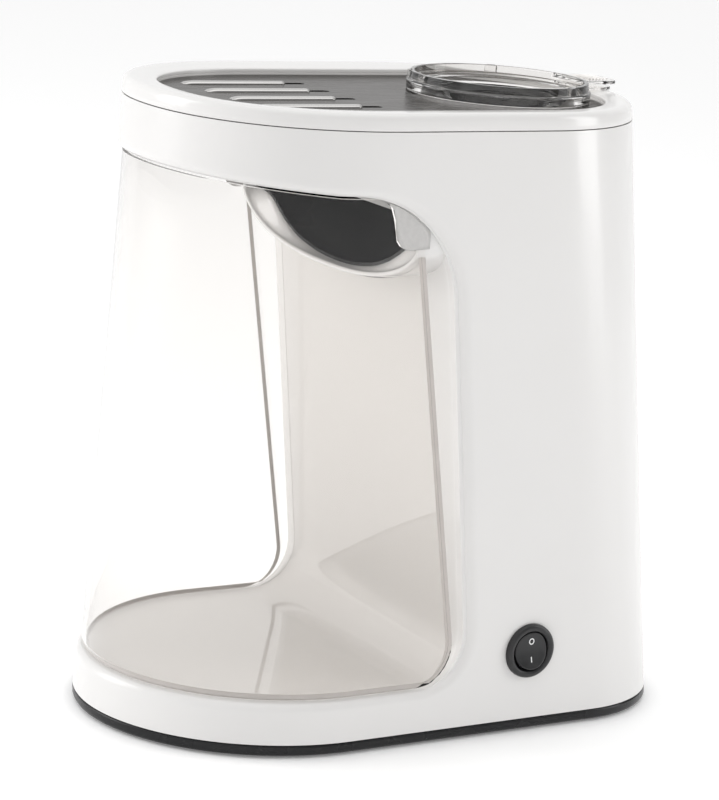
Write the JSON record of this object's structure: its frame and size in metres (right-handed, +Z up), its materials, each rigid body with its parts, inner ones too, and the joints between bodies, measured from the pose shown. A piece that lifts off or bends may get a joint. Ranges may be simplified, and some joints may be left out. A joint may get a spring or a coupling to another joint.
{
  "type": "popcorn maker",
  "caption": "Tabletop hot-air popcorn maker: white housing with a clear slide-out container, lift-out dosing cup in a steel top plate, and a side rocker switch.",
  "frame": {"origin": "centre of the base outline, at the level of the feet's undersides", "axes": "+Z up, the container slides out towards -Y, the switch is on the +X side"},
  "size_m": [0.175, 0.2959, 0.3052],
  "materials": {
    "white_housing": "glossy injection moulded",
    "black_base": "satin black",
    "black_duct": "satin black, heat resistant",
    "black_switch": "fine matt texture",
    "foot_rubber": "matt",
    "clear_plastic": "clear polished plastic",
    "steel_plate": "polished stainless",
    "steel_sheet": "plain sheet",
    "aluminium": "drawn",
    "brass": "machined",
    "mica": "pressed mica sheet",
    "board": "printed circuit board",
    "silicone": "moulded silicone",
    "grey_plastic": "glass filled",
    "wire_brown": "insulation",
    "wire_blue": "insulation"
  },
  "bodies": {
    "machine": {"base_plate": "black_base", "housing_left": "white_housing", "housing_right": "white_housing", "bay_liner": "white_housing", "lid_ring": "white_housing", "top_plate": "steel_plate", "chute_duct": "black_duct", "chamber_gasket": "silicone", "popping_chamber": "aluminium", "heater_shroud": "steel_sheet", "heater_frame": "mica", "heater_coil": "steel_sheet", "thermostat": "black_duct", "thermal_fuse": "steel_sheet", "blower_housing": "grey_plastic", "shaft_bush_lower": "brass", "shaft_bush_upper": "brass", "motor_can": "steel_sheet", "motor_cradle": "grey_plastic", "rectifier_board": "board", "switch_body": "black_switch", "switch_terminal_1": "brass", "switch_terminal_2": "brass", "cord_gland": "black_base", "motor_screw_1": "steel_sheet", "motor_screw_2": "steel_sheet", "wire_live": "wire_brown", "wire_switched": "wire_brown", "wire_neutral": "wire_blue", "foot_1": "foot_rubber", "base_screw_1": "steel_sheet", "foot_2": "foot_rubber", "base_screw_2": "steel_sheet", "foot_3": "foot_rubber", "base_screw_3": "steel_sheet", "foot_4": "foot_rubber", "base_screw_4": "steel_sheet"},
    "container": {"popcorn_container": "clear_plastic"},
    "cup": {"dosing_cup": "clear_plastic"},
    "rocker": {"switch_rocker": "black_switch"},
    "fan": {"impeller": "black_duct", "motor_shaft": "steel_sheet"}
  },
  "joints": [
    {"name": "container_slide", "type": "slide", "parent": "machine", "child": "container", "axis": [0, -1, 0], "range_m": [0, 0.16]},
    {"name": "cup_lift", "type": "slide", "parent": "machine", "child": "cup", "axis": [0, 0, 1], "range_m": [0, 0.05]},
    {"name": "rocker_pivot", "type": "hinge", "parent": "machine", "child": "rocker", "pos_m": [0.08535, 0.0433, 0.0413], "axis": [0, 1, 0], "range_deg": [0, 16]},
    {"name": "fan_spin", "type": "hinge", "parent": "machine", "child": "fan", "pos_m": [0, 0.055, 0.062], "axis": [0, 0, 1], "continuous": true}
  ]
}
